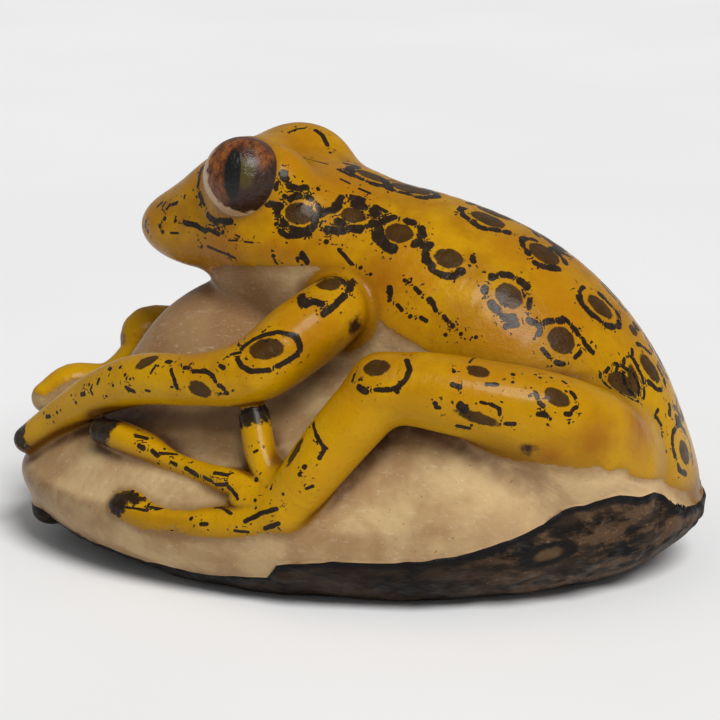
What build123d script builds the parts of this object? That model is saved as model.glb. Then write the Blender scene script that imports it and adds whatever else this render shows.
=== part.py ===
from build123d import *
import os
from math import cos, radians, sin

# A crouching frog carved in high relief from one tagua nut, millimetres.
# It faces -X, its left side faces -Y, +Z is up, and it rests on z = 0 with the nut centred on x = y = 0.

# ---- the nut
NUT_HALF_LENGTH = 26.4
NUT_HALF_WIDTH = 17.6
GIRTH_Z = 6.0  # height of the nut's widest level
KEEL_DEPTH = 7.8  # from the girth to the bottom of the whole nut, before it was ground flat
HULL_POWER = 2.5  # squareness of the hull's sides, 2 being an ellipsoid
DOME_HEIGHT = 8.6  # of the carved ground over the girth
COAT_THICKNESS = 0.9

# The seed coat's upper edge is a shallow saddle: lowest beside the frog's chest, rising to the rump.
RIM_LOW_X = -8.0
RIM_LOW_Z = 2.2
RIM_RADIUS = 62.0
RIM_TOP_Z = 8.6

# ---- the frog, each limb a path of (x, y, z, radius) on the left side, or in the middle
SPINE = [(-3.0, 0, 22.0, 6.4), (0.6, 0, 20.6, 7.9), (4.8, 0, 18.6, 9.0), (9.0, 0, 15.9, 9.8),
         (12.2, 0, 13.2, 9.9), (15.4, 0, 10.6, 9.4), (17.6, 0, 8.6, 8.4)]
LEFT_ARM = [(1.0, -7.6, 21.6, 2.9), (-1.6, -11.2, 19.8, 2.7), (-4.2, -13.4, 17.6, 2.4),
            (-8.4, -13.0, 16.0, 2.1), (-14.0, -10.6, 14.4, 1.8), (-19.4, -7.6, 12.2, 1.5),
            (-25.0, -4.2, 8.4, 1.1)]
RIGHT_ARM = [(1.0, 7.6, 21.6, 2.9), (-1.6, 11.2, 19.8, 2.7), (-4.6, 13.2, 17.6, 2.4), (-9.2, 12.6, 16.0, 2.2),
             (-15.2, 8.8, 14.8, 2.0), (-20.2, 4.8, 12.4, 1.6), (-25.0, 2.2, 8.8, 1.1)]
THIGH = [(21.4, -9.5, 12.4, 2.6), (17.5, -12.6, 14.2, 3.0), (12.5, -13.9, 16.0, 3.1),
         (8.0, -14.6, 17.2, 2.6), (5.2, -15.0, 17.5, 2.3)]
SHIN = [(6.0, -14.6, 18.0, 1.5), (4.4, -15.3, 16.4, 2.1), (2.6, -15.8, 13.8, 2.3), (0.4, -16.3, 10.4, 2.1),
        (-1.4, -16.2, 7.6, 1.9)]
FRONT_TOE = [(-0.2, -16.0, 8.4, 1.2), (-5.0, -15.7, 9.0, 1.35), (-11.0, -13.4, 9.9, 1.3), (-16.4, -10.2, 10.6, 1.2)]
LOWER_TOE = [(0.0, -16.2, 7.9, 1.3), (-6.0, -16.5, 6.2, 1.4), (-11.0, -15.6, 6.0, 1.3), (-14.6, -14.3, 6.4, 1.25)]
UPPER_TOE = [(-0.9, -16.0, 7.8, 1.1), (-3.4, -15.0, 10.6, 1.2), (-4.2, -13.4, 13.2, 1.1)]

# ---- the head, in its own frame: x runs back from its middle, z up
HEAD_AT = (-5.2, 0.6, 24.9)
HEAD_YAW = -10.0  # the frog looks a little to its right
HEAD_SECTIONS = [  # distance back from the middle, height of the centre, half-width, half-height
    (-12.9, -0.2, 0.8, 0.6), (-12.2, -0.1, 2.9, 2.0), (-10.4, 0.0, 4.6, 3.2), (-7.2, 0.2, 5.9, 4.1),
    (-3.0, 0.3, 7.2, 4.7), (1.5, 0.0, 7.2, 4.7), (4.8, -0.3, 5.2, 3.4), (6.6, -0.6, 2.2, 1.5)]
BROW_AT = (-1.1, 4.4, 3.0)
BROW_RADIUS = 3.6
EYE_AT = (-1.7, 6.1, 3.4)
EYE_RADIUS = 2.8

# ---- the unpainted ground: a chest between the arms and a swell under the flanks
CHEST_AT = (-7.0, 0.6, 12.0)
CHEST_PITCH = -16.0
CHEST_HALF_LENGTH = 11.5
CHEST_RADIUS = 8.6
FLANK_AT = (9.0, 0.0, 9.5)
FLANK_HALF_LENGTH = 15.5
FLANK_RADIUS = 12.5

CAP_ANGLES = (35.0, 62.0, 80.0)  # where the circles of a limb's rounded end lie on its quarter round
WORK_BOX = 80.0  # larger than the whole carving


def other_side(path):
    """The same path on the frog's right side."""
    return [(x, -y, z, radius) for x, y, z, radius in path]


def limb(path):
    """Circles set square to a path, with smaller ones past both ends that round them off."""
    points = [Vector(x, y, z) for x, y, z, radius in path]
    radii = [radius for x, y, z, radius in path]
    last = len(path) - 1
    ways = [(points[min(i + 1, last)] - points[max(i - 1, 0)]).normalized() for i in range(last + 1)]
    rings = []
    for angle in reversed(CAP_ANGLES):
        rings.append((points[0] - ways[0] * radii[0] * sin(radians(angle)), ways[0], radii[0] * cos(radians(angle))))
    rings += list(zip(points, ways, radii))
    for angle in CAP_ANGLES:
        past_end = ways[last] * radii[last] * sin(radians(angle))
        rings.append((points[last] + past_end, ways[last], radii[last] * cos(radians(angle))))
    sections = []
    for centre, way, radius in rings:
        with BuildSketch(Plane(origin=centre, x_dir=Vector(0, 0, 1).cross(way), z_dir=way)) as ring:
            Circle(radius)
        sections.append(ring.sketch)
    return sections


def nut_sections(half_length, half_width, keel_depth, levels, dome):
    """Ellipses of the nut's hull at each level, which close into a dome over the girth if dome is given."""
    sections = []
    for level in levels:
        if level <= GIRTH_Z:
            share = (1 - ((GIRTH_Z - level) / keel_depth) ** HULL_POWER) ** (1 / HULL_POWER)
        else:
            share = (1 - ((level - GIRTH_Z) / dome) ** 2) ** 0.5
        with BuildSketch(Plane.XY.offset(level)) as section:
            Ellipse(half_length * share, half_width * share)
        sections.append(section.sketch)
    return sections


def ellipsoid(place, half_length, radius, pitch=0.0):
    """An ellipsoid of revolution, long along X before it is pitched about Y."""
    with BuildPart() as solid:
        with BuildSketch(Plane.XZ) as half:
            Ellipse(half_length, radius)
            with Locations((0, radius)):
                Rectangle(2 * half_length, 2 * radius, mode=Mode.SUBTRACT)
        revolve(axis=Axis.X)
    return Location(place, (0, pitch, 0)) * solid.part


def largest(part):
    """The part's largest solid: a cut can leave a loose sliver of a limb behind."""
    return part.solids().sort_by(SortBy.VOLUME)[-1]


def finish(part, name):
    """Labels a sub-part and writes its file."""
    part.label = name
    export_step(part, f"parts/{name}.step")


os.makedirs("parts", exist_ok=True)

# ---- eyes
head_frame = Plane(origin=HEAD_AT, x_dir=Vector(1, 0, 0).rotate(Axis.Z, HEAD_YAW), z_dir=(0, 0, 1))
eye_x, eye_y, eye_z = EYE_AT

with BuildPart() as left_eye:
    with Locations(head_frame.from_local_coords(Vector(eye_x, -eye_y, eye_z))):
        Sphere(EYE_RADIUS)

with BuildPart() as right_eye:
    with Locations(head_frame.from_local_coords(Vector(eye_x, eye_y, eye_z))):
        Sphere(EYE_RADIUS)

# ---- head: a flattened loft with a brow bulge behind each eye
head_sections = []
for back, height, half_width, half_height in HEAD_SECTIONS:
    centre = head_frame.from_local_coords(Vector(back, 0, height))
    with BuildSketch(Plane(origin=centre, x_dir=head_frame.y_dir, z_dir=head_frame.x_dir)) as section:
        Ellipse(half_width, half_height)
    head_sections.append(section.sketch)

with BuildPart() as head:
    loft(head_sections, ruled=True)
    for side in (-1, 1):
        with Locations(head_frame.from_local_coords(Vector(BROW_AT[0], side * BROW_AT[1], BROW_AT[2]))):
            Sphere(BROW_RADIUS)
    add(left_eye.part, mode=Mode.SUBTRACT)
    add(right_eye.part, mode=Mode.SUBTRACT)

# ---- arms
with BuildPart() as left_arm:
    loft(limb(LEFT_ARM), ruled=True)
    add(head.part, mode=Mode.SUBTRACT)

with BuildPart() as right_arm:
    loft(limb(RIGHT_ARM), ruled=True)
    add(head.part, mode=Mode.SUBTRACT)

# ---- hind legs: the shin is cut to the thigh at the knee, and the foot to the shin at the ankle
with BuildPart() as left_thigh:
    loft(limb(THIGH), ruled=True)

with BuildPart() as right_thigh:
    loft(limb(other_side(THIGH)), ruled=True)

with BuildPart() as left_shin:
    loft(limb(SHIN), ruled=True)
    add(left_thigh.part, mode=Mode.SUBTRACT)

with BuildPart() as right_shin:
    loft(limb(other_side(SHIN)), ruled=True)
    add(right_thigh.part, mode=Mode.SUBTRACT)

with BuildPart() as left_foot:
    for toe in (FRONT_TOE, LOWER_TOE, UPPER_TOE):
        loft(limb(toe), ruled=True)
    add(left_shin.part, mode=Mode.SUBTRACT)

with BuildPart() as right_foot:
    for toe in (FRONT_TOE, LOWER_TOE, UPPER_TOE):
        loft(limb(other_side(toe)), ruled=True)
    add(right_shin.part, mode=Mode.SUBTRACT)

limbs = [left_arm, right_arm, left_thigh, right_thigh, left_shin, right_shin, left_foot, right_foot]

# ---- torso
with BuildPart() as torso:
    loft(limb(SPINE), ruled=True)
    add(head.part, mode=Mode.SUBTRACT)
    for piece in limbs:
        add(piece.part, mode=Mode.SUBTRACT)

# ---- the whole ground: the nut's hull with its carved dome, chest and flanks
hull_levels = (0.0, 0.8, 2.0, 3.6, GIRTH_Z, 8.0, 10.0, 12.0, 13.4, 14.3)
with BuildPart() as ground:
    loft(nut_sections(NUT_HALF_LENGTH, NUT_HALF_WIDTH, KEEL_DEPTH, hull_levels, DOME_HEIGHT), ruled=True)
    add(ellipsoid(CHEST_AT, CHEST_HALF_LENGTH, CHEST_RADIUS, CHEST_PITCH))
    add(ellipsoid(FLANK_AT, FLANK_HALF_LENGTH, FLANK_RADIUS))
    with Locations((0, 0, -WORK_BOX / 2)):
        Box(WORK_BOX, WORK_BOX, WORK_BOX, mode=Mode.SUBTRACT)

# ---- the zone that the seed coat fills: outside the kernel's hull and below the saddle
kernel_levels = (-0.5, 0.5, 1.6, 3.4, GIRTH_Z, 9.0, 12.0)
with BuildPart() as coat_zone:
    with Locations((0, 0, RIM_TOP_Z - WORK_BOX / 2)):
        Box(WORK_BOX, WORK_BOX, WORK_BOX)
    loft(nut_sections(NUT_HALF_LENGTH - COAT_THICKNESS, NUT_HALF_WIDTH - COAT_THICKNESS,
                      KEEL_DEPTH - COAT_THICKNESS, kernel_levels, 24.0), ruled=True, mode=Mode.SUBTRACT)
    with BuildSketch(Plane.XZ):
        with Locations((RIM_LOW_X, RIM_LOW_Z + RIM_RADIUS)):
            Circle(RIM_RADIUS)
    extrude(amount=WORK_BOX / 2, both=True, mode=Mode.SUBTRACT)

with BuildPart() as seed_coat:
    add(ground.part)
    add(coat_zone.part, mode=Mode.INTERSECT)
    for piece in [torso] + limbs:
        add(piece.part, mode=Mode.SUBTRACT)

with BuildPart() as kernel_ground:
    add(ground.part)
    add(coat_zone.part, mode=Mode.SUBTRACT)
    for piece in [torso, head] + limbs:
        add(piece.part, mode=Mode.SUBTRACT)

pieces = {
    "left_eye": left_eye, "right_eye": right_eye, "head": head, "torso": torso,
    "left_arm": left_arm, "right_arm": right_arm,
    "left_thigh": left_thigh, "left_shin": left_shin, "left_foot": left_foot,
    "right_thigh": right_thigh, "right_shin": right_shin, "right_foot": right_foot,
    "kernel_ground": kernel_ground, "seed_coat": seed_coat,
}
for name, piece in pieces.items():
    finish(largest(piece.part), name)
    print(name, len(piece.part.solids()), round(piece.part.volume, 1))
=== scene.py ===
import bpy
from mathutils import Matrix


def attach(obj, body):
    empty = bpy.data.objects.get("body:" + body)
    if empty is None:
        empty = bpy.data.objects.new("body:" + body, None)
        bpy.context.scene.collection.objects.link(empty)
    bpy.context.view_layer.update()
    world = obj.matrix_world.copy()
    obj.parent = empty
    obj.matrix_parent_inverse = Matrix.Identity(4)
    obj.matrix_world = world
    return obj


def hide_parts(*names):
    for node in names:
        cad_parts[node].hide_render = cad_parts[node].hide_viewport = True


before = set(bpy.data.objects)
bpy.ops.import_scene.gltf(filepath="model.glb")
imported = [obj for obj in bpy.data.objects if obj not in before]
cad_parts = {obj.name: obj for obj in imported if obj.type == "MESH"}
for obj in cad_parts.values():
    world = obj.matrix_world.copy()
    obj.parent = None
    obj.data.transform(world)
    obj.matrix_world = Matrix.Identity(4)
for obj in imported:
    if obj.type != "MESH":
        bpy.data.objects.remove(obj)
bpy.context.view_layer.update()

from concurrent.futures import ThreadPoolExecutor
from itertools import product
from math import cos, radians, sin

import bpy
import numpy as np
from mathutils import Vector

# A frog carved from one tagua nut. Shapes are worked out in millimetres as signed distances, negative
# inside, and become one closed mesh per region of the carving. The frog faces -X, its left side faces -Y,
# and +Z is up.

MM = 0.001
FAR = 40.0  # the distance given to points well away from a limb
ALL_OVER = 9.0  # a distance to marks and edges that is too far to matter
GRID_STEP = 0.36
ROUGH_SKIP = 4  # grid steps between the points that are looked at first
CLEAR_AIR = 3.0  # a rough point this far out has no skin near it
GRID_LOW = np.array([-28.6, -20.0, -1.2])
GRID_HIGH = np.array([28.6, 20.0, 33.6])

# ---- the nut
NUT_HALF_LENGTH, NUT_HALF_WIDTH = 26.4, 17.6
NUT_MIDDLE_X = -0.45
GIRTH_Z = 6.0
KEEL_DEPTH = 7.8
KEEL_RISE = 1.5  # how much shallower the keel is in front
KEEL_RISE_FROM, KEEL_RISE_OVER = -4.0, 20.0
HULL_POWER = 2.5
HULL_SPREAD = 12.0  # turns the hull's share of its own size into millimetres, near enough
NUT_TOP = 18.0
COAT_THICKNESS = 0.9
# places along x, and the height of the seed coat's upper edge at each
RIM = ((-26, -23, -19, -13, -6, -2.8, -1.9, 2.5, 8, 11, 14.6, 16.8, 17.4, 18, 19.6, 21.7, 23.7, 25.7, 27),
       (3.4, 3, 2.2, 1.6, 1.8, 2.2, 3.5, 4.2, 4.4, 4.8, 5.8, 6.8, 7.4, 7.8, 8.1, 8.4, 7.9, 5.6, 4.8))

# ---- limbs, each a path of (x, y, z, radius)
SPINE = [(-3, 0, 21.6, 6.4), (0.6, 0, 20.3, 7.9), (4.8, 0, 18.5, 8.9), (9, 0, 15.9, 9.8),
         (12.2, 0, 13.2, 9.9), (15.2, 0, 10.3, 9.1), (17.1, 0, 7.6, 8)]
LEFT_ARM = [(0.3, -8.6, 20.4, 2.5), (-1.6, -11.2, 19, 2.7), (-4.6, -13.3, 16.8, 2.4),
            (-8.8, -12.9, 15.7, 1.9), (-13.6, -10.9, 14.9, 1.9), (-17.6, -8.8, 13.1, 1.7),
            (-21.4, -6.6, 10.6, 1.3), (-25.1, -4.6, 7.7, 1.05)]
RIGHT_ARM = [(0.3, 8.6, 20.4, 2.5), (-1.8, 11.4, 18.8, 2.7), (-5, 13, 16.4, 2.4), (-9.8, 12, 14.6, 2.1),
             (-14.8, 8.6, 13.6, 1.9), (-18.8, 6.5, 14, 1.8), (-19.3, 5.2, 12.2, 1.5),
             (-21.2, 3.8, 10.5, 1.35), (-23.8, 2.4, 10.5, 1.4), (-25.5, 1.3, 9.4, 1.25)]
LEFT_THIGH = [(20, -6.4, 11.7, 2.3), (19.3, -9.6, 13.2, 2.65), (16.9, -12.4, 14.8, 2.9),
              (12.5, -13.8, 15.8, 2.9), (8.4, -14.5, 16.5, 2.7), (5.4, -14.9, 16.6, 2.4)]
RIGHT_THIGH = [(20.1, 8.6, 11, 2.3), (16.5, 11.7, 13.4, 2.7), (12.5, 13, 14.4, 2.8),
               (8.4, 13.8, 15.6, 2.6), (5.4, 14.6, 16.2, 2.4)]
SHIN = [(5.4, -14.9, 16.5, 2.4), (2.8, -15.7, 13.4, 2.3), (0.4, -16.3, 10.2, 2.1), (-1.4, -16.1, 7.6, 1.9)]
FRONT_TOE = [(-1.6, -15.8, 7.9, 1.5), (-5.9, -15.2, 8.9, 1), (-8.1, -14.3, 9.2, 0.7),
             (-10.8, -13.1, 9.5, 0.7), (-13.2, -12, 10.1, 1.05), (-15.6, -11, 10.5, 1.1),
             (-17.2, -10.2, 10.5, 0.95)]
LOWER_TOE = [(-1.6, -16.1, 7.2, 1.8), (-4.4, -16.4, 6.3, 1.4), (-6.9, -16.2, 5.9, 1.1),
             (-9.4, -15.6, 5.6, 0.85), (-11.9, -14.9, 5.6, 1), (-13.5, -14.2, 6, 1.15),
             (-14.4, -13.9, 6, 0.95)]
ANKLE = [(-1.8, -15.9, 7.6, 1.8), (-4.4, -15.7, 7.9, 1.4)]
UPPER_TOE = [(-2.4, -15.5, 8.6, 1.3), (-3.7, -14.6, 11, 1.15), (-4.5, -13.4, 13.3, 1.15)]

NODES = ["left_eye", "right_eye", "head", "torso", "left_arm", "right_arm", "left_thigh", "right_thigh",
         "left_shin", "right_shin", "left_foot", "right_foot", "kernel_ground", "seed_coat"]
LIMBS = NODES[4:12]
SIDES = ((1, "left"), (-1, "right"))


# ---- distances

def smooth_min(a, b, k):
    h = np.clip(0.5 + 0.5 * (b - a) / k, 0, 1)
    return b + (a - b) * h - k * h * (1 - h)


def smooth_max(a, b, k):
    return -smooth_min(-a, -b, k)


def turned(yaw=0.0, pitch=0.0, roll=0.0):
    """Columns are a piece's own axes after it is rolled, pitched and yawed."""
    y, p, r = radians(yaw), radians(pitch), radians(roll)
    about_z = np.array([[cos(y), -sin(y), 0], [sin(y), cos(y), 0], [0, 0, 1]])
    about_y = np.array([[cos(p), 0, sin(p)], [0, 1, 0], [-sin(p), 0, cos(p)]])
    about_x = np.array([[1, 0, 0], [0, cos(r), -sin(r)], [0, sin(r), cos(r)]])
    return about_z @ about_y @ about_x


def ellipsoid(points, centre, radii, axes=np.eye(3), reach=None):
    """Distance to an ellipsoid, worked out only within reach of it if one is given."""
    if reach is not None:
        whole = np.full(len(points), FAR, np.float32)
        near = np.flatnonzero((np.abs(points - np.float32(centre)) < max(radii) + reach).all(1))
        if len(near):
            whole[near] = ellipsoid(points[near], centre, radii, axes)
        return whole
    local = (points - np.float32(centre)) @ np.float32(axes)
    scaled = local / np.float32(radii)
    near = np.sqrt((scaled ** 2).sum(1))
    steep = np.sqrt(((scaled / np.float32(radii)) ** 2).sum(1))
    return near * (near - 1) / np.maximum(steep, 1e-6)


def smooth_path(path, per=5):
    """Stations along a Catmull-Rom curve through the path's own."""
    p = np.array(path, float)
    p = np.vstack([2 * p[0] - p[1], p, 2 * p[-1] - p[-2]])
    t = (np.arange(per) / per)[:, None]
    spans = []
    for a, b, c, d in zip(p, p[1:], p[2:], p[3:]):
        square, cube = 2 * a - 5 * b + 4 * c - d, 3 * b - a - 3 * c + d
        spans.append(0.5 * (2 * b + (c - a) * t + square * t ** 2 + cube * t ** 3))
    return np.vstack(spans + [p[-2:-1]])


def limb(points, path, reach=4.0):
    """Distance to a tapering round limb, and each point's height above the limb's own line."""
    stations = smooth_path(path).astype(np.float32)
    centres, radii = stations[:, :3], stations[:, 3]
    whole = np.full(len(points), FAR, np.float32)
    heights = np.zeros(len(points), np.float32)
    low = (centres - radii[:, None]).min(0) - reach
    high = (centres + radii[:, None]).max(0) + reach
    near = np.flatnonzero(((points > low) & (points < high)).all(1))
    if not len(near):
        return whole, heights
    local = points[near]
    square = (local ** 2).sum(1)[:, None] - 2 * local @ centres.T + (centres ** 2).sum(1)
    closest = (np.sqrt(np.maximum(square, 0)) - radii).argmin(1)
    best = np.full(len(near), FAR, np.float32)
    height = np.zeros(len(near), np.float32)
    ways, tapers = np.diff(centres, axis=0), np.diff(radii)
    for offset in (-1, 0):
        i = np.clip(closest + offset, 0, len(ways) - 1)
        way, from_start = ways[i], local - centres[i]
        h = np.clip((from_start * way).sum(1) / (way * way).sum(1), 0, 1)
        away = from_start - h[:, None] * way
        distance = np.sqrt((away ** 2).sum(1)) - radii[i] - h * tapers[i]
        closer = distance < best
        best[closer] = distance[closer]
        height[closer] = away[closer, 2]
    whole[near] = best
    heights[near] = height
    return whole, heights


def other_side(path):
    """The same limb on the far side, which the carver set a little closer in."""
    return [(x, -y * 0.98, z - 0.2, radius) for x, y, z, radius in path]


AXIS_PRIMES = (73856093, 19349663, 83492791)
SEED_PRIME = 2654435


def lumps(points, size, seed):
    """Smooth random values from -1 to 1, with lumps about size mm across."""
    q = points / np.float32(size)
    cell = np.floor(q)
    part = q - cell
    part = part * part * (3 - 2 * part)
    cell = cell.astype(np.int64)
    total = np.zeros(len(points), np.float32)
    for i, j, k in product((0, 1), repeat=3):
        mixed = seed * SEED_PRIME
        for axis, step in enumerate((i, j, k)):
            mixed = mixed ^ (cell[:, axis] + step) * AXIS_PRIMES[axis]
        mixed = (mixed ^ (mixed >> 13)) * 1274126177 & 0xFFFFFF
        mixed = (mixed ^ (mixed >> 11)) * 668265263 & 0xFFFFFF
        weight = (part[:, 0] if i else 1 - part[:, 0]) * (part[:, 1] if j else 1 - part[:, 1])
        weight = weight * (part[:, 2] if k else 1 - part[:, 2])
        total += weight * (mixed / np.float32(0x7FFFFF) - 1).astype(np.float32)
    return total


# ---- the carving

HEAD_AXES = turned(-10, 0, 5)
HEAD_MIDDLE = np.array([-6.4, 1.0, 27.6])


def on_head(back, left, up):
    return HEAD_MIDDLE + HEAD_AXES @ np.array([back, -left, up])


EYE_AXES = {1: turned(-10 + 12, 0, -14), -1: turned(-10 - 12, 0, 14)}
EYE_CENTRE = {1: on_head(-0.1, 6.1, 2.15), -1: on_head(-0.6, -5.0, -0.5)}
EYE_RADII = (2.95, 2.35, 2.95)
LID_SHIFT = {1: HEAD_AXES @ np.array([-0.15, 1.0, -0.3]), -1: HEAD_AXES @ np.array([0.3, -1.4, 0.2])}
BROW_CENTRE = {1: on_head(0.5, 4.2, 0.9), -1: on_head(0.1, -3.6, 0.2)}


def nut_hull(points):
    """The whole nut: squarer below its girth, and tall above it."""
    x, y, z = points.T
    ring = np.sqrt(((x - NUT_MIDDLE_X) / NUT_HALF_LENGTH) ** 2 + (y / NUT_HALF_WIDTH) ** 2)
    level = np.abs(z - GIRTH_Z)
    shallow = np.clip((KEEL_RISE_FROM - x) / KEEL_RISE_OVER, 0, 1) ** 2
    depth = KEEL_DEPTH - KEEL_RISE * shallow
    below = (ring ** HULL_POWER + (level / depth) ** HULL_POWER) ** (1 / HULL_POWER)
    above = np.sqrt(ring ** 2 + (level / NUT_TOP) ** 2)
    return (np.where(z < GIRTH_Z, below, above) - 1) * HULL_SPREAD


def coat_rim(points):
    """Height of the seed coat's upper edge: low in front, a step behind the foot, high at the back."""
    rim = np.interp(points[:, 0], *RIM).astype(np.float32)
    return rim + 0.22 * lumps(points, 3.0, 5) + 0.12 * lumps(points, 1.1, 6)


def distances(points):
    """Distance of each point to every region, before they are blended."""
    points = points.astype(np.float32)
    d = {}
    hull = nut_hull(points)
    dome = ellipsoid(points, (0.2, 0.0, 4.0), (26.4, 17.2, 11.0))
    knob = ellipsoid(points, (-23.0, -5.4, 2.7), (1.4, 2.0, 1.2))
    chest = ellipsoid(points, (-7.2, 0.4, 11.8), (11.5, 7.6, 9.1), turned(0, -16, 0))
    flank = ellipsoid(points, (9.0, 0.0, 7.0), (16.5, 15.6, 12.0))
    low = smooth_max(hull, points[:, 2] - 6.0, 1.0)
    ground = smooth_min(smooth_min(dome, chest, 3.0), flank, 2.0)
    ground = smooth_max(smooth_min(ground, low, 1.0), hull, 0.5)
    ground = smooth_min(ground, knob, 0.8)
    pocket = ellipsoid(points, (-9.0, -13.5, 11.6), (6.4, 2.2, 2.6), turned(-16, -8, 0))
    ground = smooth_max(ground, -pocket, 0.5)
    coat = np.maximum(points[:, 2] - coat_rim(points), -COAT_THICKNESS - hull)
    proud = np.clip(0.5 - coat / 0.3, 0, 1)
    ground = ground - proud * (0.14 + 0.16 * lumps(points, 2.2, 7) + 0.06 * lumps(points, 0.8, 8))
    ground = smooth_max(ground, -points[:, 2], 0.25)
    d["kernel_ground"] = ground
    d["seed_coat"] = ground + coat

    d["torso"] = np.maximum(limb(points, SPINE, 8.0)[0], 2.0 - points[:, 2])
    head = ellipsoid(points, (-5.2, 0.6, 24.9), (7.3, 7.4, 4.8), HEAD_AXES, 8.0)
    snout = ellipsoid(points, (-9.6, 1.4, 24.25), (8.15, 5.3, 3.6), HEAD_AXES @ turned(0, -4.5, 0), 8.0)
    bridge = ellipsoid(points, (-10.2, 1.2, 27.3), (5.4, 4.6, 2.6), HEAD_AXES @ turned(0, -36, 0), 8.0)
    throat = ellipsoid(points, (-7.9, 0.8, 20.9), (3.3, 4.4, 1.9), HEAD_AXES @ turned(0, 12, 0), 6.0)
    head = smooth_min(smooth_min(head, snout, 2.0), smooth_min(bridge, throat, 0.5), 1.5)
    for side, word in SIDES:
        brow = ellipsoid(points, BROW_CENTRE[side], (4.2, 3.1, 3.4), HEAD_AXES, 6.0)
        head = smooth_min(head, brow, 1.5)
        lid = ellipsoid(points, EYE_CENTRE[side] + LID_SHIFT[side], (2.8, 2.0, 2.9), EYE_AXES[side], 6.0)
        head = smooth_min(head, lid, 1.0)
        d[word + "_eye"] = ellipsoid(points, EYE_CENTRE[side], EYE_RADII, EYE_AXES[side], 6.0)
    d["head"] = head
    # how softly the body meets the ground, sharper low down, and a leg the body, softest at the hip
    d["neck"] = np.interp(points[:, 2], (14, 18), (0.5, 1.0)).astype(np.float32)
    d["hip"] = np.interp(points[:, 0] - points[:, 1], (24, 31), (0.6, 4.6)).astype(np.float32)
    heights = {}
    for side, arm, thigh, mirrored in (("left", LEFT_ARM, LEFT_THIGH, list),
                                       ("right", RIGHT_ARM, RIGHT_THIGH, other_side)):
        d[side + "_arm"], heights[side + "_arm"] = limb(points, arm)
        d[side + "_thigh"], heights[side + "_thigh"] = limb(points, thigh)
        d[side + "_shin"], heights[side + "_shin"] = limb(points, mirrored(SHIN))
        toes = [limb(points, mirrored(toe)) for toe in (FRONT_TOE, LOWER_TOE, UPPER_TOE, ANKLE)]
        nearest = np.argmin([toe[0] for toe in toes], 0)
        pick = np.arange(len(points))
        d[side + "_foot"] = np.array([toe[0] for toe in toes])[nearest, pick]
        heights[side + "_foot"] = np.array([toe[1] for toe in toes])[nearest, pick]
    return d, heights


def blended(d):
    """The carving's whole surface: regions run into each other with a soft crease."""
    whole = smooth_min(smooth_min(d["torso"], d["head"], 2.5), d["kernel_ground"], d["neck"])
    for side in ("left", "right"):
        whole = smooth_min(whole, d[side + "_arm"], 0.8)
        foot = smooth_min(d[side + "_foot"], d[side + "_shin"], 0.9)
        whole = smooth_min(whole, smooth_min(d[side + "_thigh"], foot, 0.8), d["hip"])
    for name in ("left_eye", "right_eye"):
        whole = smooth_min(whole, d[name], 0.22)
    return whole


CHUNK = 12000


def in_chunks(function, points):
    """The function's arrays for all the points, worked out on every core."""
    count = max(1, len(points) // CHUNK)
    with ThreadPoolExecutor() as pool:
        found = list(pool.map(function, np.array_split(points, count)))
    return [np.concatenate(one, -1) for one in zip(*found)]


def surface(points):
    return in_chunks(lambda chunk: (blended(distances(chunk)[0]),), points)[0]


def stacked(points):
    """The whole surface's distance, then every region's, then the heights above each limb's line."""
    d, heights = distances(points)
    regions = np.stack([d[name] for name in NODES])
    return blended(d), regions, np.stack([heights[name] for name in LIMBS])


def gradient(points, step=0.05, function=surface):
    shifts = np.float32([[1, -1, -1], [-1, -1, 1], [-1, 1, -1], [1, 1, 1]])
    total = np.zeros_like(points)
    for shift in shifts:
        total += shift * function(points + shift * np.float32(step))[:, None]
    return total / (4 * step)


# ---- meshing: surface nets over the grid, one label per region, so that neighbours share their border

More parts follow.
